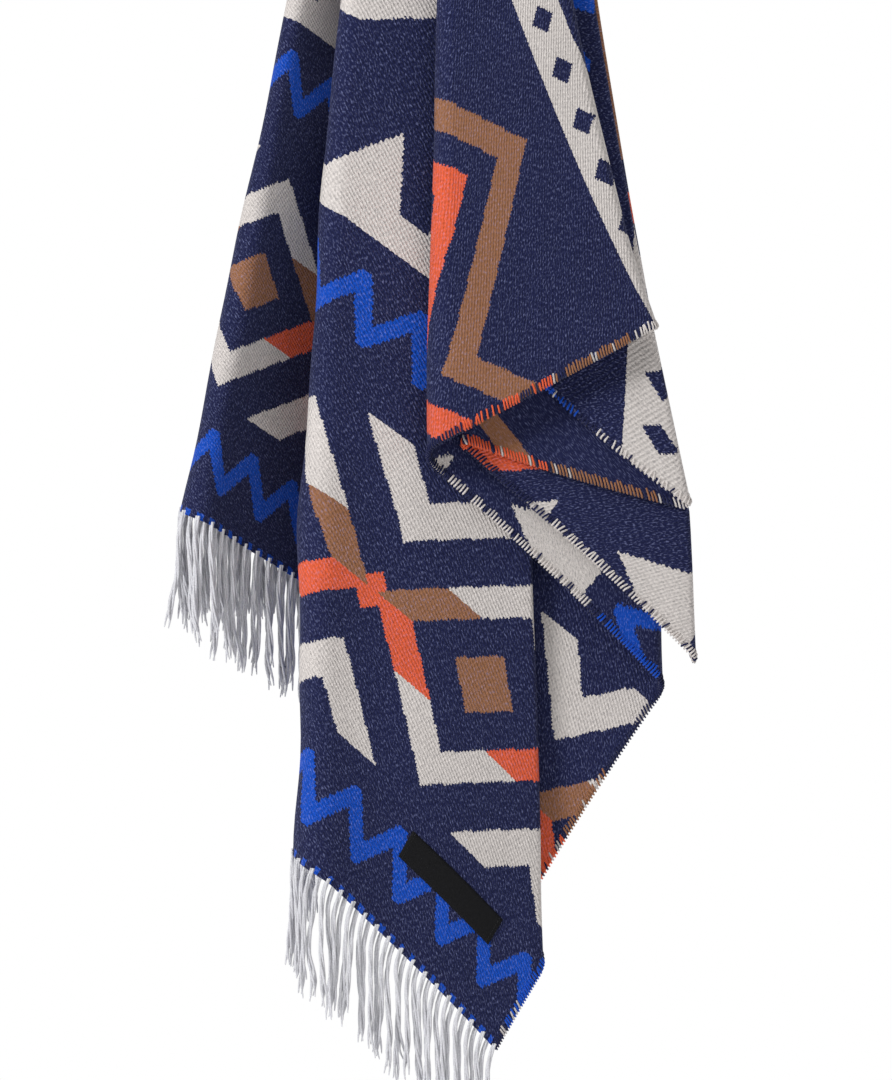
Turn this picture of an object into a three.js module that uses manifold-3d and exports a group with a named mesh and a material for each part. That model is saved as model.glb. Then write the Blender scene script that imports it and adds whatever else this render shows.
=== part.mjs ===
// A woven throw blanket, lifted at its middle and left to hang in deep folds, with fringe on both woven ends.
// Millimetres, +Z up. The origin is the crown of the gather, from which the cloth hangs.
import * as THREE from "three";
import { mergeVertices } from "three/addons/utils/BufferGeometryUtils.js";
import Module from "manifold-3d";

const wasm = await Module();
wasm.setup();

// Flat cloth
const WIDTH = 1420; // across, between the two overlocked sides
const LENGTH = 1880; // along, between the two fringed ends
const PINCH = { fromSide: 710, fromNearEnd: 930 }; // the point that is lifted
const CLOTH = 2; // thickness

// Fringe and label
const FRINGE_DROP = 96;
const FRINGE_PITCH = 13.4;
const STRAND_RADIUS = 1.9;
const STRAND_TIP_SHARE = 0.7;
const STRAND_SWAY = 1.5;
const STRIP_HEIGHT = 7;
const PIECE_GAP = 0.4;
const LABEL = { length: 98, height: 23, fromSide: 49, fromEnd: 55, thickness: 1, lift: 0.9, columns: 6, rows: 2 };

// Stations down the drape at which the fold plan is given
const TOP_DEPTH = 60;
const NECK_DEPTH = 465;
const LOW_DEPTH = 850;
const LOWER_SPREAD = 0.25; // share of the low slope that the folds keep below the low station
const CROWN = { halfWidth: 57, halfDepth: 47, shoulder: 60, bottom: 72, y: 3, swell: 0.62 };

// Fineness
const ROWS = 9;
const ARC_STEPS = 3;
const WIDE_FOLD = 7;
const PANEL_STEPS = 3;
const DEGREE = Math.PI / 180;

// The folds that face forward, in order round the drape, seen from above with the front at -Y.
// turn 1 is an outer fold and -1 an inner one. Each station gives the fold's centre x, y and its radius r.
// hang is the hanging length over the flat length there: above 1 on the stretched bias, below 1 where cloth is taken up.
const FRONT_FOLDS = [
  { name: "left roll", turn: 1, top: [-46, 2, 3], neck: [-124, -2, 8], low: [-197, -5, 14], hang: 0.931 },
  { name: "left valley", turn: -1, top: [-31, 9, 2], neck: [-66, 30, 5], low: [-95, 60, 8], hang: 0.945 },
  { name: "middle roll", turn: 1, top: [-32, -14, 4], neck: [-78, -35, 13], low: [-98, -54, 18], hang: 1.062 },
  { name: "pleat edge", turn: 1, top: [-11, -20, 1.5], neck: [13, -27, 2.2], low: [50, -34, 3.5], hang: 1.075 },
  { name: "pleat root", turn: -1, top: [-16, -15, 1.5], neck: [4, -21, 2.2], low: [37, -25, 3], hang: 1.085 },
  { name: "right turn", turn: -1, top: [26, -2, 2], neck: [82, -14, 5], low: [140, -22, 8], hang: 1.064 },
  { name: "lapel roll", turn: 1, top: [0, -29, 4], neck: [-5, -53, 11], low: [-8, -78, 18], hang: 1.014 },
  { name: "lapel edge", turn: 1, top: [42, -27, 3], neck: [78, -54, 6], low: [188, -75, 8], hang: 1.006 },
  { name: "hidden turn", turn: -1, top: [28, -21, 1.5], neck: [25, -51, 2], low: [8, -83, 3], hang: 1.0 },
  { name: "upper tier", turn: 1, top: [47, -15, 1.6], neck: [98, -38, 2.5], low: [170, -54, 4], hang: 1.18 },
  { name: "tier turn", turn: -1, top: [36, -12, 1.5], neck: [22, -43, 2], low: [2, -71, 3], hang: 1.018 },
  { name: "lower tier", turn: 1, top: [49, -3, 1.6], neck: [101, -27, 2.5], low: [168, -40, 4], hang: 1.087 },
];
const FRONT_START_ANGLE = -83; // flat ray angle at the left roll, degrees from the direction of the right side
const FRONT_SPREAD = 850; // distance from the pinch at which the front plan has its true width

// The folds behind, as fins on an ellipse. reach is the share of the ellipse at the tip, and root at the valley before it.
const BACK_TOP = { x: 0, y: 6, halfWidth: 47, halfDepth: 37, reach: 1, root: 0.74, tipRadius: 1.8, rootRadius: 1.4 };
const BACK_NECK = { x: 0, y: 24, halfWidth: 88, halfDepth: 112, tipRadius: 5, rootRadius: 2 };
const BACK_LOW = { x: 0, y: 42, halfWidth: 130, halfDepth: 168, tipRadius: 8.5, rootRadius: 3.5 };
const BACK_FINS = [
  { angle: 8, reach: 1.04, root: 1.06, hang: 0.8 },
  { angle: 20, reach: 1.04, root: 0.4, hang: 0.82 },
  { angle: 33, reach: 0.94, root: 0.36, hang: 0.86 },
  { angle: 45, reach: 1.06, root: 0.38, hang: 0.86 },
  { angle: 58, reach: 0.92, root: 0.34, hang: 0.86 },
  { angle: 71, reach: 1.08, root: 0.37, hang: 0.9 },
  { angle: 84, reach: 1, root: 0.4, hang: 0.94 },
  { angle: 97, reach: 0.9, root: 0.36, hang: 0.94 },
  { angle: 109, reach: 1.07, root: 0.38, hang: 0.92 },
  { angle: 121, reach: 0.95, root: 0.36, hang: 0.88 },
  { angle: 134, reach: 1.05, root: 0.42, hang: 0.88 },
];
const FIRST_ROOT_ANGLE = -32;
const LAST_ROOT = { angle: 154, root: 0.74, hang: 0.92 };

const turnedLeft = ([x, y]) => [-y, x];
const lerp = (a, b, t) => a + (b - a) * t;
const wrapTurn = (angle) => angle - 2 * Math.PI * Math.floor(angle / (2 * Math.PI));

function ellipsePoint(station, angle, share, radius) {
  const a = angle * DEGREE;
  return [
    station.x + station.halfWidth * share * Math.cos(a),
    station.y + station.halfDepth * share * Math.sin(a),
    radius,
  ];
}

// One fold behind, at its three stations. At the top every fin is short, so that the layers there lie side by side.
function backFold(name, turn, angle, share, hang) {
  const size = turn > 0 ? "tipRadius" : "rootRadius";
  const topShare = turn > 0 ? BACK_TOP.reach : BACK_TOP.root;
  return {
    name,
    turn,
    top: ellipsePoint(BACK_TOP, angle, topShare, BACK_TOP[size]),
    neck: ellipsePoint(BACK_NECK, angle, share, BACK_NECK[size]),
    low: ellipsePoint(BACK_LOW, angle, share, BACK_LOW[size]),
    hang,
  };
}

function allFolds() {
  const folds = [...FRONT_FOLDS];
  let before = FIRST_ROOT_ANGLE;
  BACK_FINS.forEach((fin, i) => {
    const rootAngle = (before + fin.angle) / 2;
    folds.push(backFold(`back valley ${i + 1}`, -1, rootAngle, fin.root, fin.hang));
    folds.push(backFold(`back fin ${i + 1}`, 1, fin.angle, fin.reach, fin.hang));
    before = fin.angle;
  });
  folds.push(backFold("last valley", -1, LAST_ROOT.angle, LAST_ROOT.root, LAST_ROOT.hang));
  return folds;
}

const folds = allFolds();

// A fold's centre and radius at a depth: a smooth curve through its stations, straighter below the low one.
function foldAt(fold, depth) {
  const low = Math.min(depth, LOW_DEPTH);
  const spans = [TOP_DEPTH, NECK_DEPTH, LOW_DEPTH];
  const stations = [fold.top, fold.neck, fold.low];
  const lowerSlope = (i) => (stations[2][i] - stations[1][i]) / (LOW_DEPTH - NECK_DEPTH);
  return [0, 1, 2].map((i) => {
    let value = 0;
    for (let a = 0; a < 3; a++) {
      let weight = 1;
      for (let b = 0; b < 3; b++) if (b !== a) weight *= (low - spans[b]) / (spans[a] - spans[b]);
      value += weight * stations[a][i];
    }
    return value + LOWER_SPREAD * lowerSlope(i) * (depth - low);
  });
}

// The straight panel from one fold to the next, tangent to both.
function panelBetween(a, turnA, b, turnB) {
  const [dx, dy] = [b[0] - a[0], b[1] - a[1]];
  const span = Math.hypot(dx, dy);
  const lean = Math.asin(THREE.MathUtils.clamp((turnB * b[2] - turnA * a[2]) / span, -1, 1));
  const heading = Math.atan2(dy, dx) - lean;
  const normal = turnedLeft([Math.cos(heading), Math.sin(heading)]);
  return {
    heading,
    from: [a[0] - turnA * a[2] * normal[0], a[1] - turnA * a[2] * normal[1]],
    to: [b[0] - turnB * b[2] * normal[0], b[1] - turnB * b[2] * normal[1]],
  };
}

const foldIndex = (i) => (i + folds.length) % folds.length;

function panelAt(i, depth) {
  const [a, b] = [folds[foldIndex(i)], folds[foldIndex(i + 1)]];
  return panelBetween(foldAt(a, depth), a.turn, foldAt(b, depth), b.turn);
}

// The turn that the cloth makes round fold i.
function arcAt(i, depth) {
  const fold = folds[foldIndex(i)];
  const start = panelAt(i - 1, depth).heading;
  let sweep = wrapTurn(fold.turn * (panelAt(i, depth).heading - start));
  if (sweep > 1.6 * Math.PI) sweep -= 2 * Math.PI;
  return { centre: foldAt(fold, depth), turn: fold.turn, start, sweep };
}

// Plan point at a depth, on the arc round fold i or on the panel after it, at share u.
function planPoint({ fold, onArc, u }, depth) {
  if (!onArc) {
    const panel = panelAt(fold, depth);
    return [lerp(panel.from[0], panel.to[0], u), lerp(panel.from[1], panel.to[1], u)];
  }
  const arc = arcAt(fold, depth);
  const heading = arc.start + arc.turn * arc.sweep * u;
  const normal = turnedLeft([Math.cos(heading), Math.sin(heading)]);
  const [x, y, radius] = arc.centre;
  return [x - arc.turn * radius * normal[0], y - arc.turn * radius * normal[1]];
}

// Stretches of the fold plan with their flat ray angles.
function planStretches() {
  const stretches = [];
  folds.forEach((fold, i) => {
    const arc = arcAt(i, LOW_DEPTH);
    const panel = panelAt(i, LOW_DEPTH);
    stretches.push({ fold: i, onArc: true, length: Math.abs(arc.sweep) * arc.centre[2] });
    stretches.push({
      fold: i,
      onArc: false,
      length: Math.hypot(panel.to[0] - panel.from[0], panel.to[1] - panel.from[1]),
    });
  });
  const frontCount = 2 * FRONT_FOLDS.length;
  const total = (list) => list.reduce((sum, s) => sum + s.length, 0);
  const frontTurn = total(stretches.slice(0, frontCount)) / FRONT_SPREAD;
  const backScale = (2 * Math.PI - frontTurn) / total(stretches.slice(frontCount));
  let angle = FRONT_START_ANGLE * DEGREE;
  stretches.forEach((s, n) => {
    s.from = angle;
    angle += s.length * (n < frontCount ? 1 / FRONT_SPREAD : backScale);
    s.to = angle;
  });
  return stretches;
}

const CORNER_ANGLES = [
  [WIDTH - PINCH.fromSide, -PINCH.fromNearEnd],
  [WIDTH - PINCH.fromSide, LENGTH - PINCH.fromNearEnd],
  [-PINCH.fromSide, LENGTH - PINCH.fromNearEnd],
  [-PINCH.fromSide, -PINCH.fromNearEnd],
].map(([x, y]) => Math.atan2(y, x));

// Distance from the pinch to the cloth's edge along a flat ray.
function flatReach(angle) {
  const [c, s] = [Math.cos(angle), Math.sin(angle)];
  const across = c > 0 ? (WIDTH - PINCH.fromSide) / c : -PINCH.fromSide / c;
  const along = s > 0 ? (LENGTH - PINCH.fromNearEnd) / s : -PINCH.fromNearEnd / s;
  return Math.min(Math.abs(across), Math.abs(along));
}

// Hanging length over flat length, running evenly from fold to fold.
function hangShare({ fold, onArc, u }) {
  const here = folds[fold].hang;
  return onArc ? here : lerp(here, folds[foldIndex(fold + 1)].hang, u);
}

function hemDepth(column) {
  const length = flatReach(column.angle) * hangShare(column);
  let depth = length;
  for (let pass = 0; pass < 4; pass++) depth = Math.sqrt(length ** 2 - Math.hypot(...planPoint(column, depth)) ** 2);
  return depth;
}

// The columns of the sheet: shares of each arc and panel, and one column at each corner of the cloth.
function sheetColumns() {
  const columns = [];
  for (const stretch of planStretches()) {
    const wide = folds[stretch.fold].low[2] >= WIDE_FOLD;
    const steps = stretch.onArc ? (wide ? ARC_STEPS : ARC_STEPS - 1) : PANEL_STEPS;
    const shares = Array.from({ length: steps }, (_, n) => n / steps);
    for (const corner of CORNER_ANGLES) {
      const share = (wrapTurn(corner - stretch.from) / (stretch.to - stretch.from));
      if (share > 0.02 && share < 1) shares.push(share);
    }
    shares.sort((a, b) => a - b);
    for (const u of shares) {
      columns.push({ fold: stretch.fold, onArc: stretch.onArc, u, angle: lerp(stretch.from, stretch.to, u) });
    }
  }
  for (const column of columns) column.hem = hemDepth(column);
  return columns;
}

const columns = sheetColumns();

function sheetPoint(column, share) {
  const depth = lerp(TOP_DEPTH, column.hem, share);
  return new THREE.Vector3(...planPoint(column, depth), -depth);
}

// Middle surface as a grid of points, one row for each share of the way down.
const grid = columns.map((column) =>
  Array.from({ length: ROWS + 1 }, (_, row) => sheetPoint(column, row / ROWS)),
);
const columnIndex = (j) => (j + columns.length) % columns.length;

function gridNormal(j, row) {
  const along = grid[columnIndex(j + 1)][row].clone().sub(grid[columnIndex(j)][row]).normalize();
  along.add(grid[columnIndex(j)][row].clone().sub(grid[columnIndex(j - 1)][row]).normalize());
  const down = grid[columnIndex(j)][Math.min(row + 1, ROWS)].clone();
  down.sub(grid[columnIndex(j)][Math.max(row - 1, 0)]);
  return down.cross(along).normalize();
}

const normals = grid.map((points, j) => points.map((_, row) => gridNormal(j, row)));

function geometryFrom(positions, triangles) {
  const geometry = new THREE.BufferGeometry();
  geometry.setAttribute("position", new THREE.Float32BufferAttribute(positions, 3));
  geometry.setIndex(triangles);
  return geometry;
}

// A closed skin over a grid of outer and inner points. Rows run down, and columns may close into a ring.
function wallGeometry(outer, inner, closed) {
  const count = outer.length;
  const rows = outer[0].length;
  const positions = [];
  for (const side of [outer, inner]) for (const column of side) for (const p of column) positions.push(p.x, p.y, p.z);
  const at = (side, j, row) => (side * count + (j % count)) * rows + row;
  const triangles = [];
  const quad = (a, b, c, d) => triangles.push(a, b, c, a, c, d);
  const last = closed ? count : count - 1;
  for (let j = 0; j < last; j++) {
    for (let row = 0; row < rows - 1; row++) {
      quad(at(0, j, row), at(0, j, row + 1), at(0, j + 1, row + 1), at(0, j + 1, row));
      quad(at(1, j, row), at(1, j + 1, row), at(1, j + 1, row + 1), at(1, j, row + 1));
    }
    quad(at(0, j, 0), at(0, j + 1, 0), at(1, j + 1, 0), at(1, j, 0));
    quad(at(0, j, rows - 1), at(1, j, rows - 1), at(1, j + 1, rows - 1), at(0, j + 1, rows - 1));
  }
  if (!closed) {
    for (let row = 0; row < rows - 1; row++) {
      quad(at(0, 0, row), at(1, 0, row), at(1, 0, row + 1), at(0, 0, row + 1));
      quad(at(0, last, row), at(0, last, row + 1), at(1, last, row + 1), at(1, last, row));
    }
  }
  return geometryFrom(positions, triangles);
}

const offsetGrid = (side) =>
  grid.map((points, j) => points.map((p, row) => p.clone().addScaledVector(normals[j][row], (side * CLOTH) / 2)));

function solidOf(geometry) {
  const bare = geometry.clone();
  for (const name of Object.keys(bare.attributes)) if (name !== "position") bare.deleteAttribute(name);
  const merged = mergeVertices(bare, 1e-3);
  return new wasm.Manifold(
    new wasm.Mesh({
      numProp: 3,
      vertProperties: new Float32Array(merged.attributes.position.array),
      triVerts: new Uint32Array(merged.index.array),
    }),
  );
}

function geometryOf(solid) {
  const mesh = solid.getMesh();
  return geometryFrom(mesh.vertProperties, Array.from(mesh.triVerts));
}

// The crown: the bunched cloth over the lifted point, a low dome that the folds run out of.
function crownGeometry() {
  const profile = [new THREE.Vector2(0, -CROWN.bottom), new THREE.Vector2(0.9, -CROWN.bottom)];
  const steps = 7;
  for (let n = steps; n >= 0; n--) {
    const down = (n / steps) ** 1.5;
    profile.push(new THREE.Vector2(down ** CROWN.swell, -CROWN.shoulder * down));
  }
  const dome = new THREE.LatheGeometry(profile, 24);
  dome.rotateX(Math.PI / 2);
  dome.scale(CROWN.halfWidth, CROWN.halfDepth, 1);
  dome.translate(0, CROWN.y, 0);
  return dome;
}

function clothGeometry() {
  const sheet = solidOf(wallGeometry(offsetGrid(1), offsetGrid(-1), true));
  return geometryOf(sheet.add(solidOf(crownGeometry())));
}

// The hem between two corners of the cloth, as points with their outward direction and place along the end.
function hemBetween(fromAngle, toAngle) {
  const turn = wrapTurn(toAngle - fromAngle);
  return columns
    .map((column, j) => ({ j, past: wrapTurn(column.angle - fromAngle + 1e-6) }))
    .filter(({ past }) => past <= turn + 2e-6)
    .sort((a, b) => a.past - b.past)
    .map(({ j }) => ({
      point: grid[j][ROWS],
      outward: normals[j][ROWS].clone().setZ(0).normalize(),
      place: flatReach(columns[j].angle) * Math.cos(columns[j].angle),
    }));
}

// A repeatable value from -1 to 1 for strand n.
const sway = (n, k) => {
  const value = Math.sin(n * 12.9898 + k * 78.233) * 43758.5453;
  return 2 * (value - Math.floor(value)) - 1;
};

function strandGeometry(root, n) {
  const tip = new THREE.Vector3(sway(n, 1) * STRAND_SWAY, sway(n, 2) * STRAND_SWAY, -FRINGE_DROP - 6 * sway(n, 3));
  const points = [root, tip.add(root)];
  const positions = [];
  const triangles = [];
  const sides = 3;
  points.forEach((p, ring) => {
    const radius = STRAND_RADIUS * (ring ? STRAND_TIP_SHARE : 1);
    for (let k = 0; k < sides; k++) {
      const a = (2 * Math.PI * k) / sides + n;
      positions.push(p.x + radius * Math.cos(a), p.y + radius * Math.sin(a), p.z);
    }
  });
  for (let k = 0; k < sides; k++) {
    const next = (k + 1) % sides;
    triangles.push(k, k + sides, next, next, k + sides, next + sides);
  }
  triangles.push(0, 1, 2, sides, sides + 2, sides + 1);
  return geometryFrom(positions, triangles);
}

// Fringe on one end: a narrow strip under the hem, with strands that hang from it.
function fringeGeometry(fromAngle, toAngle) {
  const hem = hemBetween(fromAngle, toAngle);
  const edge = (side) =>
    hem.map(({ point, outward }) =>
      [0, 1].map((row) =>
        point
          .clone()
          .addScaledVector(outward, (side * CLOTH) / 2)
          .add(new THREE.Vector3(0, 0, -PIECE_GAP - CLOTH - row * STRIP_HEIGHT)),
      ),
    );
  let solid = solidOf(wallGeometry(edge(1), edge(-1), false));
  const [first, last] = [hem[0].place, hem[hem.length - 1].place];
  const span = Math.abs(last - first);
  const strands = Math.floor(span / FRINGE_PITCH);
  for (let n = 0; n < strands; n++) {
    const place = lerp(first, last, (n + 0.5) / strands);
    const next = hem.findIndex((h, i) => i > 0 && (h.place - place) * Math.sign(last - first) >= 0);
    const share = (place - hem[next - 1].place) / (hem[next].place - hem[next - 1].place);
    const root = hem[next - 1].point.clone().lerp(hem[next].point, share);
    root.z -= PIECE_GAP + CLOTH + STRIP_HEIGHT / 2;
    solid = solid.add(solidOf(strandGeometry(root, n)));
  }
  return geometryOf(solid);
}

// A point on the hanging cloth for a place on the flat cloth, lifted off its outer face.
function onCloth(fromLeft, fromEnd, lift) {
  const [x, y] = [fromLeft - PINCH.fromSide, fromEnd - PINCH.fromNearEnd];
  const angle = Math.atan2(y, x);
  const j = columns.findIndex(
    (column, n) => column.angle <= angle && columns[columnIndex(n + 1)].angle > angle,
  );
  const next = columnIndex(j + 1);
  const share = (angle - columns[j].angle) / (columns[next].angle - columns[j].angle);
  const down = Math.hypot(x, y) / flatReach(angle);
  const pointAt = (n) => {
    const depth = columns[n].hem * down;
    return sheetPoint(columns[n], (depth - TOP_DEPTH) / (columns[n].hem - TOP_DEPTH));
  };
  const point = pointAt(j).lerp(pointAt(next), share);
  return point.addScaledVector(normals[j][ROWS - 1], lift);
}

function labelGeometry() {
  const face = (lift) =>
    Array.from({ length: LABEL.columns + 1 }, (_, c) =>
      Array.from({ length: LABEL.rows + 1 }, (_, r) =>
        onCloth(
          WIDTH - LABEL.fromSide - LABEL.length * (1 - c / LABEL.columns),
          LABEL.fromEnd + LABEL.height * (1 - r / LABEL.rows),
          lift,
        ),
      ),
    );
  const inner = CLOTH / 2 + LABEL.lift;
  return wallGeometry(face(inner + LABEL.thickness), face(inner), false);
}

function finish(color, roughness) {
  return new THREE.MeshStandardMaterial({ color, roughness, metalness: 0 });
}

function piece(name, geometry, material) {
  const mesh = new THREE.Mesh(geometry, material);
  mesh.name = name;
  return mesh;
}

const [NEAR_RIGHT, FAR_RIGHT, FAR_LEFT, NEAR_LEFT] = CORNER_ANGLES;
const blanket = new THREE.Group();
const yarn = finish(0xc9c8cf, 0.95);
blanket.add(piece("cloth", clothGeometry(), finish(0x20254a, 0.95)));
blanket.add(piece("fringe_near", fringeGeometry(NEAR_LEFT, NEAR_RIGHT), yarn));
blanket.add(piece("fringe_far", fringeGeometry(FAR_RIGHT, FAR_LEFT), yarn));
blanket.add(piece("label", labelGeometry(), finish(0x101015, 0.7)));

export default blanket;
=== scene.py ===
"""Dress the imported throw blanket: woven cloth, overlocked sides, fringe and label, with camera and studio."""

import logging
import math
from dataclasses import dataclass, field
from enum import Enum
from typing import Any, Sequence

import bpy
import numpy as np
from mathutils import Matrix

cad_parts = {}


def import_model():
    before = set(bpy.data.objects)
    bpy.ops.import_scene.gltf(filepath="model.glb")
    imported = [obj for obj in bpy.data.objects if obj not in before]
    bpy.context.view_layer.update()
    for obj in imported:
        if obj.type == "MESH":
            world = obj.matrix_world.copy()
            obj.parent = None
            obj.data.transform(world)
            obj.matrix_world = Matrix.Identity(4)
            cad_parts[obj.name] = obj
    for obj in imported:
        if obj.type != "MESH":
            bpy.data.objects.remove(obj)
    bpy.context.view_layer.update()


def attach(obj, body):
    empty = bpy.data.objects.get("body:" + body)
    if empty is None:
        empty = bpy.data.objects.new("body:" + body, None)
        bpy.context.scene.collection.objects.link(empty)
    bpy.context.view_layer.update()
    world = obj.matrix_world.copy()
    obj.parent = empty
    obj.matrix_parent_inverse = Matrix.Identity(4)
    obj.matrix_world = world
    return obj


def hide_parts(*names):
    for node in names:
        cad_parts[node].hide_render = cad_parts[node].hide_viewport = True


LOG = logging.getLogger("throw_blanket")
ROOT_BODY = "root"
OVERLOCK_PITCH = 0.0025

Station = tuple[float, float, float]
Colour = tuple[float, float, float]


def srgb(red: int, green: int, blue: int) -> Colour:
    """Turn display colour values into the linear values that shaders take.

    Args:
        red: Red from 0 to 255.
        green: Green from 0 to 255.
        blue: Blue from 0 to 255.

    Returns:
        The linear colour.
    """
    shares = (red / 255, green / 255, blue / 255)
    return tuple(c / 12.92 if c <= 0.04045 else ((c + 0.055) / 1.055) ** 2.4 for c in shares)


class Turn(Enum):
    """Which way the cloth turns at a fold, seen from above."""

    OUTER = 1
    INNER = -1


class ClothSide(Enum):
    """The two faces of the cloth."""

    FACE = 0
    BACK = 1


@dataclass(frozen=True)
class Fold:
    """One fold of the drape, as a centre and radius at three depths, in millimetres.

    Attributes:
        name: What the fold is.
        turn: Outer or inner fold.
        top: Centre x, y and radius where the folds leave the crown.
        neck: The same at the height where the photograph begins.
        low: The same at the height of the upper hems.
        hang: Hanging length over flat length.
        wave: How far soft waves move the cloth there.
    """

    name: str
    turn: Turn
    top: Station
    neck: Station
    low: Station
    hang: float
    wave: float


FRONT_FOLDS: tuple[Fold, ...] = (
    Fold("left roll", Turn.OUTER, (-46, 2, 3), (-124, -2, 8), (-197, -5, 14), 0.931, 3.0),
    Fold("left valley", Turn.INNER, (-31, 9, 2), (-66, 30, 5), (-95, 60, 8), 0.945, 1.5),
    Fold("middle roll", Turn.OUTER, (-32, -14, 4), (-78, -35, 13), (-98, -54, 18), 1.062, 5.0),
    Fold("pleat edge", Turn.OUTER, (-11, -20, 1.5), (13, -27, 2.2), (50, -34, 3.5), 1.075, 1.0),
    Fold("pleat root", Turn.INNER, (-16, -15, 1.5), (4, -21, 2.2), (37, -25, 3), 1.085, 1.0),
    Fold("right turn", Turn.INNER, (26, -2, 2), (82, -14, 5), (140, -22, 8), 1.064, 1.5),
    Fold("lapel roll", Turn.OUTER, (0, -29, 4), (-5, -53, 11), (-8, -78, 18), 1.014, 1.5),
    Fold("lapel edge", Turn.OUTER, (42, -27, 3), (78, -54, 6), (188, -75, 8), 1.006, 2.0),
    Fold("hidden turn", Turn.INNER, (28, -21, 1.5), (25, -51, 2), (8, -83, 3), 1.0, 0.3),
    Fold("upper tier", Turn.OUTER, (47, -15, 1.6), (98, -38, 2.5), (170, -54, 4), 1.18, 0.6),
    Fold("tier turn", Turn.INNER, (36, -12, 1.5), (22, -43, 2), (2, -71, 3), 1.018, 0.3),
    Fold("lower tier", Turn.OUTER, (49, -3, 1.6), (101, -27, 2.5), (168, -40, 4), 1.087, 0.6),
)


@dataclass(frozen=True)
class Fin:
    """One fold behind, on an ellipse round the drape.

    Attributes:
        angle: Where its tip points, in degrees.
        reach: Share of the ellipse at its tip.
        root: Share of the ellipse at the valley before it.
        hang: Hanging length over flat length.
    """

    angle: float
    reach: float
    root: float
    hang: float


BACK_FINS: tuple[Fin, ...] = (
    Fin(8, 1.04, 1.06, 0.8),
    Fin(20, 1.04, 0.4, 0.82),
    Fin(33, 0.94, 0.36, 0.86),
    Fin(45, 1.06, 0.38, 0.86),
    Fin(58, 0.92, 0.34, 0.86),
    Fin(71, 1.08, 0.37, 0.9),
    Fin(84, 1.0, 0.4, 0.94),
    Fin(97, 0.9, 0.36, 0.94),
    Fin(109, 1.07, 0.38, 0.92),
    Fin(121, 0.95, 0.36, 0.88),
    Fin(134, 1.05, 0.42, 0.88),
)
LAST_ROOT = Fin(154, 0.0, 0.74, 0.92)
FIRST_ROOT_ANGLE = -32.0
BACK_TOP_SHARES = {Turn.OUTER: 1.0, Turn.INNER: 0.74}
BACK_WAVE = 0.6


@dataclass(frozen=True)
class BackEllipse:
    """The ellipse that the folds behind stand on at one depth, in millimetres."""

    y: float
    half_width: float
    half_depth: float
    tip_radius: float
    root_radius: float

    def station(self, angle: float, share: float, turn: Turn) -> Station:
        """Centre and radius of a fold on this ellipse.

        Args:
            angle: Direction in degrees.
            share: Share of the ellipse's size.
            turn: Outer or inner fold.

        Returns:
            The fold's x, y and radius.
        """
        turned = math.radians(angle)
        radius = self.tip_radius if turn is Turn.OUTER else self.root_radius
        x = self.half_width * share * math.cos(turned)
        return (x, self.y + self.half_depth * share * math.sin(turned), radius)


BACK_TOP = BackEllipse(6, 47, 37, 1.8, 1.4)
BACK_NECK = BackEllipse(24, 88, 112, 5, 2)
BACK_LOW = BackEllipse(42, 130, 168, 8.5, 3.5)


def back_fold(name: str, turn: Turn, angle: float, share: float, hang: float) -> Fold:
    """Make a fold behind from its place on the three ellipses.

    Args:
        name: What the fold is.
        turn: Outer or inner fold.
        angle: Direction in degrees.
        share: Share of the ellipse below the crown.
        hang: Hanging length over flat length.

    Returns:
        The fold.
    """
    top = BACK_TOP.station(angle, BACK_TOP_SHARES[turn], turn)
    neck = BACK_NECK.station(angle, share, turn)
    low = BACK_LOW.station(angle, share, turn)
    return Fold(name, turn, top, neck, low, hang, BACK_WAVE)


def all_folds() -> list[Fold]:
    """List every fold in order round the drape."""
    folds = list(FRONT_FOLDS)
    before = FIRST_ROOT_ANGLE
    for number, fin in enumerate(BACK_FINS, start=1):
        root_angle = (before + fin.angle) / 2
        folds.append(back_fold(f"back valley {number}", Turn.INNER, root_angle, fin.root, fin.hang))
        folds.append(back_fold(f"back fin {number}", Turn.OUTER, fin.angle, fin.reach, fin.hang))
        before = fin.angle
    folds.append(back_fold("last valley", Turn.INNER, LAST_ROOT.angle, LAST_ROOT.root, LAST_ROOT.hang))
    return folds


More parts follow.
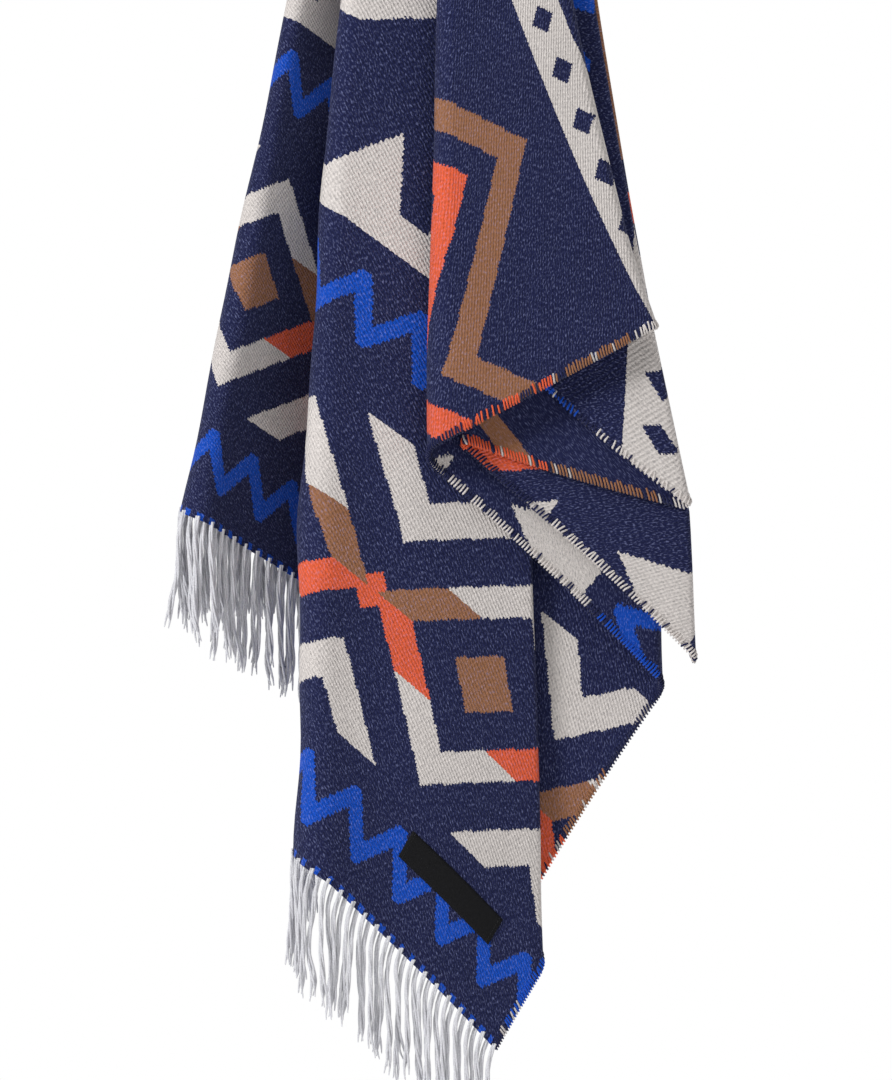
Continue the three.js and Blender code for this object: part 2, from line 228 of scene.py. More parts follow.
@dataclass
class Drape:
    """The hanging cloth as a surface over its flat cut. Lengths are in millimetres until the grid is made.

    Attributes:
        width: Flat width between the overlocked sides.
        length: Flat length between the fringed ends.
        pinch_x: Distance of the lifted point from a side.
        pinch_y: Distance of the lifted point from the near end.
        thickness: Thickness of the cloth.
        top_depth: Depth at which the folds leave the crown.
        neck_depth: Depth of the second station.
        low_depth: Depth of the third station.
        lower_spread: Share of the slope that the folds keep below the third station.
        front_start: Flat ray angle at the left roll, in degrees.
        front_spread: Distance from the lifted point at which the front has its true width.
        crown_swell: How quickly the crown widens.
        rows: Rows of the grid below the crown.
        crown_rows: Rows of the grid on the crown.
    """

    width: float = 1420.0
    length: float = 1880.0
    pinch_x: float = 710.0
    pinch_y: float = 930.0
    thickness: float = 2.0
    top_depth: float = 60.0
    neck_depth: float = 465.0
    low_depth: float = 850.0
    lower_spread: float = 0.25
    front_start: float = -83.0
    front_spread: float = 850.0
    crown_swell: float = 0.62
    rows: int = 74
    crown_rows: int = 9
    folds: list[Fold] = field(default_factory=all_folds)

    def fold_at(self, index: int, depth: np.ndarray) -> np.ndarray:
        """Centre and radius of a fold at several depths.

        Args:
            index: The fold's place in the list.
            depth: Depths below the hang point.

        Returns:
            Rows of x, y and radius.
        """
        fold = self.folds[index % len(self.folds)]
        above = np.minimum(depth, self.low_depth)
        spans = (self.top_depth, self.neck_depth, self.low_depth)
        stations = np.array([fold.top, fold.neck, fold.low], dtype=float)
        value = np.zeros((len(depth), 3))
        for a in range(3):
            weight = np.ones(len(depth))
            for b in range(3):
                if b != a:
                    weight *= (above - spans[b]) / (spans[a] - spans[b])
            value += weight[:, None] * stations[a]
        slope = (stations[2] - stations[1]) / (self.low_depth - self.neck_depth)
        return value + self.lower_spread * slope * (depth - above)[:, None]

    def panel_at(self, index: int, depth: np.ndarray) -> tuple[np.ndarray, np.ndarray, np.ndarray]:
        """The straight panel from a fold to the next, tangent to both.

        Args:
            index: The fold that the panel leaves.
            depth: Depths below the hang point.

        Returns:
            Headings, start points and end points.
        """
        a = self.fold_at(index, depth)
        b = self.fold_at(index + 1, depth)
        turn_a = self.folds[index % len(self.folds)].turn.value
        turn_b = self.folds[(index + 1) % len(self.folds)].turn.value
        way = b[:, :2] - a[:, :2]
        span = np.hypot(way[:, 0], way[:, 1])
        lean = np.arcsin(np.clip((turn_b * b[:, 2] - turn_a * a[:, 2]) / span, -1, 1))
        heading = np.arctan2(way[:, 1], way[:, 0]) - lean
        normal = np.stack([-np.sin(heading), np.cos(heading)], axis=1)
        start = a[:, :2] - turn_a * a[:, 2:3] * normal
        end = b[:, :2] - turn_b * b[:, 2:3] * normal
        return heading, start, end

    def arc_at(self, index: int, depth: np.ndarray) -> tuple[np.ndarray, np.ndarray, np.ndarray]:
        """The turn that the cloth makes round a fold.

        Args:
            index: The fold's place in the list.
            depth: Depths below the hang point.

        Returns:
            The fold's centre and radius, the heading at its start, and the angle turned.
        """
        turn = self.folds[index % len(self.folds)].turn.value
        start = self.panel_at(index - 1, depth)[0]
        sweep = np.mod(turn * (self.panel_at(index, depth)[0] - start), 2 * math.pi)
        sweep = np.where(sweep > 1.6 * math.pi, sweep - 2 * math.pi, sweep)
        return self.fold_at(index, depth), start, sweep

    def plan(self, index: int, on_arc: bool, share: float, depth: np.ndarray) -> np.ndarray:
        """Plan points at several depths on one column of the cloth.

        Args:
            index: The fold that the column belongs to.
            on_arc: Whether the column is on the fold or on the panel after it.
            share: How far along that stretch it is.
            depth: Depths below the hang point.

        Returns:
            Rows of x and y.
        """
        if not on_arc:
            _, start, end = self.panel_at(index, depth)
            return start + (end - start) * share
        turn = self.folds[index % len(self.folds)].turn.value
        centre, start_heading, sweep = self.arc_at(index, depth)
        heading = start_heading + turn * sweep * share
        normal = np.stack([-np.sin(heading), np.cos(heading)], axis=1)
        return centre[:, :2] - turn * centre[:, 2:3] * normal

    def flat_reach(self, angle: float) -> float:
        """Distance from the lifted point to the edge of the flat cloth along a ray."""
        c, s = math.cos(angle), math.sin(angle)
        across = (self.width - self.pinch_x) / c if c > 0 else -self.pinch_x / c
        along = (self.length - self.pinch_y) / s if s > 0 else -self.pinch_y / s
        return min(abs(across), abs(along))

    def corner_angles(self) -> list[float]:
        """Flat ray angles of the four corners."""
        xs = (self.width - self.pinch_x, self.width - self.pinch_x, -self.pinch_x, -self.pinch_x)
        far = self.length - self.pinch_y
        ys = (-self.pinch_y, far, far, -self.pinch_y)
        return [math.atan2(y, x) for x, y in zip(xs, ys)]

    def stretches(self) -> list[dict[str, Any]]:
        """Stretches of the fold plan with their flat ray angles, in order round the drape."""
        depth = np.array([self.low_depth])
        found: list[dict[str, Any]] = []
        for index in range(len(self.folds)):
            centre, _, sweep = self.arc_at(index, depth)
            _, start, end = self.panel_at(index, depth)
            arc_length = abs(float(sweep[0])) * float(centre[0, 2])
            panel_length = float(np.hypot(*(end[0] - start[0])))
            found.append({"fold": index, "on_arc": True, "length": arc_length})
            found.append({"fold": index, "on_arc": False, "length": panel_length})
        front = 2 * len(FRONT_FOLDS)
        front_turn = sum(s["length"] for s in found[:front]) / self.front_spread
        back_scale = (2 * math.pi - front_turn) / sum(s["length"] for s in found[front:])
        angle = math.radians(self.front_start)
        for number, stretch in enumerate(found):
            stretch["from"] = angle
            angle += stretch["length"] * (1 / self.front_spread if number < front else back_scale)
            stretch["to"] = angle
        return found

    def columns(self) -> list[dict[str, Any]]:
        """Choose the grid's columns: shares of each stretch, and one at each corner of the cloth."""
        chosen: list[dict[str, Any]] = []
        for stretch in self.stretches():
            fold = self.folds[stretch["fold"]]
            front = stretch["fold"] < len(FRONT_FOLDS)
            if stretch["on_arc"]:
                steps = 9 if fold.low[2] >= 7 else 6
            else:
                steps = max(3, round(stretch["length"] / (9.0 if front else 16.0)))
            shares = [n / steps for n in range(steps)]
            for corner in self.corner_angles():
                share = (corner - stretch["from"]) % (2 * math.pi) / (stretch["to"] - stretch["from"])
                if 0.01 < share < 0.99:
                    shares = [s for s in shares if abs(s - share) > 0.2 / steps or s == 0]
                    shares.append(share)
            for share in sorted(shares):
                angle = stretch["from"] + (stretch["to"] - stretch["from"]) * share
                chosen.append({**stretch, "share": share, "angle": angle})
        return chosen

    def mixed(self, column: dict[str, Any], name: str) -> float:
        """A fold's value at a column, running evenly from fold to fold."""
        here = getattr(self.folds[column["fold"]], name)
        if column["on_arc"]:
            return here
        after = getattr(self.folds[(column["fold"] + 1) % len(self.folds)], name)
        return here + (after - here) * column["share"]

    def hem_depth(self, column: dict[str, Any]) -> float:
        """Depth of the hem at a column, from its flat length and the way the cloth hangs there."""
        length = self.flat_reach(column["angle"]) * self.mixed(column, "hang")
        depth = length
        for _ in range(4):
            point = self.plan(column["fold"], column["on_arc"], column["share"], np.array([depth]))
            depth = math.sqrt(length**2 - float(np.sum(point**2)))
        return depth


@dataclass
class ClothGrid:
    """The draped middle surface in metres, with what is needed to place things on it.

    Attributes:
        drape: The folds that the surface follows.
        points: Grid of positions, columns by rows.
        normals: Grid of outward directions.
        flat: Grid of places on the flat cloth.
        half: Grid of half thicknesses.
    """

    drape: Drape
    points: np.ndarray = field(init=False)
    normals: np.ndarray = field(init=False)
    flat: np.ndarray = field(init=False)
    half: np.ndarray = field(init=False)
    angles: np.ndarray = field(init=False)
    hems: np.ndarray = field(init=False)
    shares: np.ndarray = field(init=False)

    def __post_init__(self) -> None:
        """Evaluate the drape on its grid."""
        drape = self.drape
        columns = drape.columns()
        self.angles = np.array([c["angle"] for c in columns])
        self.hems = np.array([drape.hem_depth(c) for c in columns])
        even = np.linspace(0, 1, drape.rows)
        self.shares = np.concatenate([even[:-1], [0.9965, 1.0]])
        crown = (np.arange(1, drape.crown_rows + 1) / (drape.crown_rows + 1)) ** 1.5
        body_points = []
        flats = []
        for column, hem in zip(columns, self.hems):
            depth = drape.top_depth + (hem - drape.top_depth) * self.shares
            plan = drape.plan(column["fold"], column["on_arc"], column["share"], depth)
            gather = (crown**drape.crown_swell)[:, None]
            crown_plan = plan[0] * gather
            crown_depth = crown * drape.top_depth
            depths = np.concatenate([crown_depth, depth])
            plans = np.concatenate([crown_plan, plan])
            body_points.append(np.column_stack([plans, -depths]))
            radius = drape.flat_reach(column["angle"]) * depths / hem
            ray = np.array([math.cos(column["angle"]), math.sin(column["angle"])])
            flats.append(np.array([drape.pinch_x, drape.pinch_y]) + radius[:, None] * ray)
        points = np.array(body_points) / 1000
        self.flat = np.array(flats) / 1000
        rows = points.shape[1]
        thin = np.ones(rows)
        thin[: drape.crown_rows] = crown**drape.crown_swell
        self.half = np.tile(thin * drape.thickness / 2000, (len(columns), 1))
        self.points = points
        self.normals = self.outward()
        waves = np.array([drape.mixed(c, "wave") for c in columns])
        self.points = points + self.normals * self.soft_waves(waves)[:, :, None]
        self.normals = self.outward()

    def outward(self) -> np.ndarray:
        """Outward directions of the grid, from its neighbours."""
        after = np.roll(self.points, -1, axis=0) - self.points
        after /= np.linalg.norm(after, axis=2, keepdims=True) + 1e-12
        along = after + np.roll(after, 1, axis=0)
        down = np.gradient(self.points, axis=1)
        normal = np.cross(down, along)
        return normal / (np.linalg.norm(normal, axis=2, keepdims=True) + 1e-12)

    def soft_waves(self, waves: np.ndarray) -> np.ndarray:
        """Heights of the soft waves that loosen the folds, growing towards the hem.

        Args:
            waves: How far the cloth moves at each column, in millimetres.

        Returns:
            Grid of heights in metres.
        """
        u, v = self.flat[:, :, 0], self.flat[:, :, 1]
        tau = 2 * math.pi
        ray = np.unwrap(np.arctan2(v - self.drape.pinch_y / 1000, u - self.drape.pinch_x / 1000), axis=0)
        slow = np.sin(ray * 34 + 5.5 * v + 0.8) + np.sin(tau * (u / 0.26 - v / 0.41 + 0.58))
        quick = np.sin(tau * (u / 0.129 + v / 0.181 + 0.71)) + np.sin(tau * (v / 0.143 - u / 0.167 + 0.29))
        depth = -self.points[:, :, 2]
        grown = np.clip((depth - 0.25) / 0.6, 0, 1)
        return (0.42 * slow + 0.2 * quick) * grown * waves[:, None] / 1000

    def place(self, u: np.ndarray, v: np.ndarray, lift: np.ndarray | float = 0.0) -> np.ndarray:
        """Find points of space for places on the flat cloth.

        Args:
            u: Distances across the flat cloth, in metres.
            v: Distances along the flat cloth, in metres.
            lift: Distance outwards from the middle surface, in metres.

        Returns:
            Rows of x, y and z.
        """
        drape = self.drape
        x = np.asarray(u, dtype=float) * 1000 - drape.pinch_x
        y = np.asarray(v, dtype=float) * 1000 - drape.pinch_y
        angle = np.arctan2(y, x)
        angle = self.angles[0] + np.mod(angle - self.angles[0], 2 * math.pi)
        j = np.clip(np.searchsorted(self.angles, angle, side="right") - 1, 0, len(self.angles) - 1)
        k = (j + 1) % len(self.angles)
        next_angle = np.where(k == 0, self.angles[0] + 2 * math.pi, self.angles[k])
        side = ((angle - self.angles[j]) / (next_angle - self.angles[j]))[:, None]
        reach = np.array([drape.flat_reach(a) for a in angle])
        down = np.hypot(x, y) / reach
        first = drape.crown_rows

        def on_column(column: np.ndarray, grid: np.ndarray) -> np.ndarray:
            """Interpolate a grid down the given columns."""
            share = (self.hems[column] * down - drape.top_depth) / (self.hems[column] - drape.top_depth)
            row = np.clip(np.searchsorted(self.shares, share, side="right") - 1, 0, len(self.shares) - 2)
            part = ((share - self.shares[row]) / (self.shares[row + 1] - self.shares[row]))[:, None]
            a = grid[column, first + row]
            b = grid[column, first + row + 1]
            return a + (b - a) * part

        point = on_column(j, self.points) * (1 - side) + on_column(k, self.points) * side
        normal = on_column(j, self.normals) * (1 - side) + on_column(k, self.normals) * side
        normal /= np.linalg.norm(normal, axis=1, keepdims=True)
        return point + normal * np.reshape(lift, (-1, 1))


class Value:
    """A socket that takes part in arithmetic: each operator adds a Math node."""

    def __init__(self, graph: "Graph", socket: bpy.types.NodeSocket) -> None:
        """Wrap a socket of a graph."""
        self.graph = graph
        self.socket = socket

    def math(self, operation: str, *others: "Value | float", clamp: bool = False) -> "Value":
        """Add a Math node that starts from this value.

        Args:
            operation: The node's operation.
            others: The node's other values.
            clamp: Whether the result is held between 0 and 1.

        Returns:
            The node's result.
        """
        settings = {"operation": operation, "use_clamp": clamp}
        return self.graph.node("ShaderNodeMath", settings, (self, *others))

    def __add__(self, other: "Value | float") -> "Value":
        """Add."""
        return self.math("ADD", other)

    def __radd__(self, other: float) -> "Value":
        """Add to a number."""
        return self.math("ADD", other)

    def __sub__(self, other: "Value | float") -> "Value":
        """Subtract."""
        return self.math("SUBTRACT", other)

    def __rsub__(self, other: float) -> "Value":
        """Subtract from a number."""
        return self.graph.node("ShaderNodeMath", {"operation": "SUBTRACT"}, (other, self))

    def __mul__(self, other: "Value | float") -> "Value":
        """Multiply."""
        return self.math("MULTIPLY", other)

    def __rmul__(self, other: float) -> "Value":
        """Multiply a number."""
        return self.math("MULTIPLY", other)

    def __truediv__(self, other: "Value | float") -> "Value":
        """Divide."""
        return self.math("DIVIDE", other)

    def __gt__(self, other: "Value | float") -> "Value":
        """1 where this is greater."""
        return self.math("GREATER_THAN", other)

    def __lt__(self, other: "Value | float") -> "Value":
        """1 where this is less."""
        return self.math("LESS_THAN", other)

    def __abs__(self) -> "Value":
        """Size without sign."""
        return self.math("ABSOLUTE")

    def either(self, other: "Value") -> "Value":
        """The greater of two masks."""
        return self.math("MAXIMUM", other)

    def zigzag(self, half_period: float) -> "Value":
        """Distance to the nearest of evenly spaced lines, as a triangle wave."""
        return self.math("PINGPONG", half_period)


class Graph:
    """The node tree of one material."""

    def __init__(self, name: str) -> None:
        """Start a material with an empty tree."""
        self.material = bpy.data.materials.new(name)
        self.material.use_nodes = True
        self.tree = self.material.node_tree
        self.tree.nodes.clear()

    def node(
        self,
        kind: str,
        settings: dict[str, Any] | None = None,
        inputs: Sequence[Any] | dict[str, Any] = (),
        output: int | str = 0,
    ) -> Value:
        """Add a node.

        Args:
            kind: The node's type.
            settings: Properties that are set first.
            inputs: Values or links of its sockets, in order or by name. None leaves a socket alone.
            output: Which output is returned.

        Returns:
            The chosen output.
        """
        made = self.tree.nodes.new(kind)
        for name, value in (settings or {}).items():
            setattr(made, name, value)
        pairs = inputs.items() if isinstance(inputs, dict) else enumerate(inputs)
        for key, value in pairs:
            if isinstance(value, Value):
                self.tree.links.new(value.socket, made.inputs[key])
            elif value is not None:
                made.inputs[key].default_value = value
        return Value(self, made.outputs[output])

    def blend(self, factor: "Value | float", a: "Value | Colour", b: "Value | Colour") -> Value:
        """Mix two colours.

        Args:
            factor: Share of the second colour.
            a: First colour.
            b: Second colour.

        Returns:
            The mixed colour.
        """
        full = [c if isinstance(c, Value) else (*c, 1.0) for c in (a, b)]
        inputs = {0: factor, 6: full[0], 7: full[1]}
        return self.node("ShaderNodeMix", {"data_type": "RGBA"}, inputs, output=2)

    def shaded(self, colour: Value, amount: Value) -> Value:
        """Multiply a colour by a brightness."""
        grey = self.node("ShaderNodeCombineColor", None, (amount, amount, amount))
        settings = {"data_type": "RGBA", "blend_type": "MULTIPLY"}
        return self.node("ShaderNodeMix", settings, {0: 1.0, 6: colour, 7: grey}, output=2)

    def finish(
        self,
        colour: Value,
        roughness: "Value | float",
        height: Value | None,
        depth: float,
        constants: dict[str, Any],
    ) -> bpy.types.Material:
        """Close the tree with a shader.

        Args:
            colour: Base colour.
            roughness: Roughness.
            height: Height of the relief, or none.
            depth: Depth of the relief in metres.
            constants: Other values of the shader, the same all over.

        Returns:
            The material.
        """
        inputs: dict[str, Any] = {"Base Color": colour, "Roughness": roughness, **constants}
        if height is not None:
            bump = {"Strength": 1.0, "Distance": depth, "Height": height}
            inputs["Normal"] = self.node("ShaderNodeBump", None, bump)
        shader = self.node("ShaderNodeBsdfPrincipled", None, inputs)
        self.node_out(shader)
        return self.material

    def node_out(self, shader: Value) -> None:
        """Join a shader to the material's output."""
        out = self.tree.nodes.new("ShaderNodeOutputMaterial")
        self.tree.links.new(shader.socket, out.inputs["Surface"])


@dataclass(frozen=True)
class YarnColours:
    """The five yarns of the weave."""

    navy: Colour = srgb(27, 32, 72)
    blue: Colour = srgb(8, 76, 190)
    cream: Colour = srgb(219, 212, 208)
    orange: Colour = srgb(231, 98, 60)
    brown: Colour = srgb(155, 107, 76)


@dataclass(frozen=True)
class BandPattern:
    """Rows of plain geometric motifs across the cloth, the same from both ends. Sizes are in metres.

    Attributes:
        middle: Half of the cloth's length.
        stitch: Size of one woven step.
        yarns: The yarns' colours.
    """

    middle: float = 0.94
    stitch: float = 0.0019
    yarns: YarnColours = YarnColours()

    def colour(self, graph: Graph, u: Value, v: Value) -> tuple[Value, Value]:
        """Colour of the weave at a place on the flat cloth.

        Args:
            graph: The material's tree.
            u: Distance across the cloth.
            v: Distance along the cloth.

        Returns:
            The colour, and a mask of the pale yarn.
        """
        across = u.math("SNAP", self.stitch)
        step = v.math("SNAP", self.stitch)
        m = self.middle - abs(step - self.middle)
        blue = self.zigzag_row(across, m, 0.02).either(self.zigzag_row(across, m, 0.335))
        blue = blue.either(self.zigzag_row(across, m, 0.85)).either(self.root_ticks(across, m))
        ring, core, small, wedge = self.diamond_row(across, m)
        teeth = self.tooth_row(across, m)
        first, second, third = self.chevron_row(across, m)
        stripe = self.dotted_stripe(across, m)
        orange_part = (m > 0.163) * (m < 0.2)
        brown_part = (m > 0.1999) * (m < 0.237)
        cream = teeth.either(stripe).either(first).either(ring).either(wedge)
        orange = (ring * orange_part).either(second).either(small)
        brown = (ring * brown_part).either(third).either(core)
        base = graph.blend(blue, self.yarns.navy, self.yarns.blue)
        base = graph.blend(cream, base, self.yarns.cream)
        base = graph.blend(orange, base, self.yarns.orange)
        base = graph.blend(brown, base, self.yarns.brown)
        pale = cream * (1 - orange.either(brown))
        return base, pale

    def root_ticks(self, across: Value, m: Value) -> Value:
        """Short blue ticks where the fringe leaves the cloth."""
        return (m < 0.0038) * (across.zigzag(0.0056) < 0.0024)

    def zigzag_row(self, across: Value, m: Value, start: float) -> Value:
        """A zigzag line."""
        rise = across.zigzag(0.023) * 1.55
        line = abs(m - rise - (start + 0.012)) < 0.0112
        return line * (m > start + 0.006) * (m < start + 0.054)

    def diamond_row(self, across: Value, m: Value) -> tuple[Value, Value, Value, Value]:
        """Diamond outlines with cores, small diamonds between them, and wedges from the row's edges."""
        side = across.zigzag(0.105)
        rise = abs(m - 0.2)
        span = side * 0.9 + rise
        ring = (span > 0.062) * (span < 0.092)
        core = span < 0.026
        small = ((0.105 - side) + rise) < 0.016
        wedge = (((0.105 - side) * 0.9 + (0.105 - rise)) < 0.062) * (rise < 0.105)
        hole = ((0.105 - side) * 0.9 + (0.105 - rise)) < 0.028
        return ring, core, small, wedge * (1 - hole)

    def tooth_row(self, across: Value, m: Value) -> Value:
        """A pale stripe with a row of teeth."""
        stripe = (m > 0.412) * (m < 0.436)
        rise = across.zigzag(0.04) * 1.7
        tooth = (m > 0.43) * ((m - 0.43) < (rise - 0.012))
        return stripe.either(tooth)

    def chevron_row(self, across: Value, m: Value) -> tuple[Value, Value, Value]:
        """Nested chevrons in three colours."""
        band = (m > 0.535) * (m < 0.755)
        way = m - 0.535 + across.zigzag(0.125) * 0.9
        first = band * (way > 0.06) * (way < 0.09)
        second = band * (way > 0.12) * (way < 0.15)
        third = band * (way > 0.18) * (way < 0.21)
        return first, second, third

    def dotted_stripe(self, across: Value, m: Value) -> Value:
        """A pale stripe with small dark diamonds."""
        stripe = (m > 0.78) * (m < 0.822)
        dots = (across.zigzag(0.021) + abs(m - 0.801)) < 0.0115
        return stripe * (1 - dots)


@dataclass(frozen=True)
class ClothFinish:
    """The woven cloth's finish on one side.

    Attributes:
        side: Which face of the cloth.
        pattern: The motifs.
    """

    side: ClothSide
    pattern: BandPattern = BandPattern()

    def material(self) -> bpy.types.Material:
        """Make the material."""
        face = self.side is ClothSide.FACE
        graph = Graph("weave_face" if face else "weave_back")
        uv = graph.node("ShaderNodeUVMap", {"uv_map": "flat"})
        split = graph.node("ShaderNodeSeparateXYZ", None, (uv,))
        u = split
        v = Value(graph, split.socket.node.outputs[1])
        fuzz = graph.node("ShaderNodeTexNoise", None, {"Vector": uv, "Scale": 520.0, "Detail": 2.0})
        loose = (fuzz - 0.5) * (0.003 if face else 0.007)
        base, pale = self.pattern.colour(graph, u + loose, v - loose)
        along = graph.node("ShaderNodeCombineXYZ", None, (u * 300.0 - v * 240.0, u * 640.0 + v * 800.0, 0.0))
        dash = graph.node("ShaderNodeTexNoise", None, {"Vector": along, "Scale": 1.0, "Detail": 2.0})
        yarn = 0.0013
        cell = graph.node("ShaderNodeCombineXYZ", None, (u.math("SNAP", yarn), v.math("SNAP", yarn), 0.0))
        speck = graph.node("ShaderNodeTexWhiteNoise", {"noise_dimensions": "3D"}, {"Vector": cell})
        bright = ((dash - 0.52) * 7.0).math("MULTIPLY", 1.0, clamp=True)
        light = bright * (1 - pale) * (0.4 + speck * 0.6)
        dark = (((0.42 - dash) * 6.0).math("MULTIPLY", 1.0, clamp=True)) * pale
        base = graph.blend(light * (0.38 if face else 0.34), base, srgb(150, 158, 205))
        base = graph.blend(dark * 0.3, base, srgb(92, 92, 118))
        ribs = self.rib_height(u, v) if face else fuzz
        wool = graph.node("ShaderNodeTexNoise", None, {"Vector": uv, "Scale": 1500.0, "Detail": 3.0})
        patch = graph.node("ShaderNodeTexNoise", None, {"Vector": uv, "Scale": 16.0, "Detail": 2.0})
        # On the face the tone darkens the colour in the grooves between the weave's ribs: painted shade. The
        # rest of the tone, and all of it on the back, comes from flecks, fibre and random patches.
        tone_and_rib_shade = 0.44 + ribs * 0.28 + dash * 0.6 + speck * 0.14 + (wool - 0.5) * 0.34 + (patch - 0.5) * 0.16
        colour = graph.shaded(base, tone_and_rib_shade)
        height = ribs * 0.7 + dash * 0.8 + wool * 0.5
        constants = {
            "Specular IOR Level": 0.15,
            "Sheen Weight": 0.05,
            "Sheen Roughness": 0.6,
            "Sheen Tint": (0.8, 0.82, 0.95, 1.0),
        }
        return graph.finish(colour, 0.93, height, 0.0009, constants)

    def rib_height(self, u: Value, v: Value) -> Value:
        """Slanting ribs of the weave, from 0 to 1, used for the relief and, on the face, for painted shade in
        the grooves.
        """
        slant = (u * 0.55 + v) * (2 * math.pi / 0.0027)
        across = (u - v * 0.35) * (2 * math.pi / 0.0034)
        return slant.math("SINE") * 0.34 + across.math("SINE") * 0.16 + 0.5


@dataclass(frozen=True)
class YarnFinish:
    """Loose spun yarn in one colour.

    Attributes:
        name: The material's name.
        colour: The yarn's colour.
    """

    name: str
    colour: Colour

    def material(self) -> bpy.types.Material:
        """Make the material."""
        graph = Graph(self.name)
        place = graph.node("ShaderNodeTexCoord", output="Object")
        fibre = graph.node("ShaderNodeTexNoise", None, {"Vector": place, "Scale": 900.0, "Detail": 3.0})
        patch = graph.node("ShaderNodeTexNoise", None, {"Vector": place, "Scale": 70.0, "Detail": 1.0})
        base = graph.blend(patch, self.colour, tuple(c * 0.8 for c in self.colour))
        colour = graph.shaded(base, 0.7 + fibre * 0.6)
        return graph.finish(colour, 0.95, fibre, 0.0006, {"Specular IOR Level": 0.12, "Sheen Weight": 0.2})


@dataclass(frozen=True)
class OverlockFinish:
    """Overlock yarn whose colour follows the bands beside it."""

    yarns: YarnColours = YarnColours()

    def material(self) -> bpy.types.Material:
        """Make the material."""
        graph = Graph("overlock_yarn")
        flat = graph.node("ShaderNodeAttribute", {"attribute_name": "flat_place"}, output="Vector")
        split = graph.node("ShaderNodeSeparateXYZ", None, (flat,))
        v = Value(graph, split.socket.node.outputs[1])
        m = 0.94 - abs(v - 0.94)
        stitch = v.math("SNAP", OVERLOCK_PITCH) * 1e3
        turn = graph.node("ShaderNodeTexWhiteNoise", {"noise_dimensions": "1D"}, {"W": stitch})
        blue = ((m > 0.02) * (m < 0.08)).either((m > 0.335) * (m < 0.395)).either((m > 0.85) * (m < 0.91))
        cream = ((m > 0.395) * (m < 0.53)).either((m > 0.76) * (m < 0.84)).either((m > 0.1) * (m < 0.16))
        orange = ((m > 0.16) * (m < 0.2)).either((m > 0.6) * (m < 0.68))
        brown = ((m > 0.2) * (m < 0.25)).either((m > 0.68) * (m < 0.755))
        base = graph.blend(blue * (turn < 0.8), self.yarns.navy, self.yarns.blue)
        base = graph.blend(cream * (turn < 0.72), base, self.yarns.cream)
        base = graph.blend(orange * (turn < 0.7), base, self.yarns.orange)
        base = graph.blend(brown * (turn < 0.75), base, self.yarns.brown)
        base = graph.blend((turn > 0.9) * 0.8, base, self.yarns.cream)
        place = graph.node("ShaderNodeTexCoord", output="Object")
        fibre = graph.node("ShaderNodeTexNoise", None, {"Vector": place, "Scale": 1400.0, "Detail": 2.0})
        colour = graph.shaded(base, 0.72 + fibre * 0.55)
        return graph.finish(colour, 0.92, fibre, 0.0004, {"Specular IOR Level": 0.15, "Sheen Weight": 0.15})


@dataclass(frozen=True)
class SatinFinish:
    """Black satin ribbon of the label."""

    def material(self) -> bpy.types.Material:
        """Make the material."""
        graph = Graph("label_satin")
        uv = graph.node("ShaderNodeUVMap", {"uv_map": "flat"})
        split = graph.node("ShaderNodeSeparateXYZ", None, (uv,))
        v = Value(graph, split.socket.node.outputs[1])
        thread = (v * (2 * math.pi / 0.0006)).math("SINE") * 0.5 + 0.5
        wear = graph.node("ShaderNodeTexNoise", None, {"Vector": uv, "Scale": 160.0, "Detail": 4.0})
        base = graph.blend(wear, srgb(4, 4, 6), srgb(15, 15, 19))
        # The colour is lighter on the threads' crests and darker between them: painted highlight and painted
        # shade.
        colour = graph.shaded(base, 0.8 + thread * 0.35)
        roughness = 0.55 + wear * 0.2
        return graph.finish(colour, roughness, thread, 0.00012, {"Specular IOR Level": 0.22})


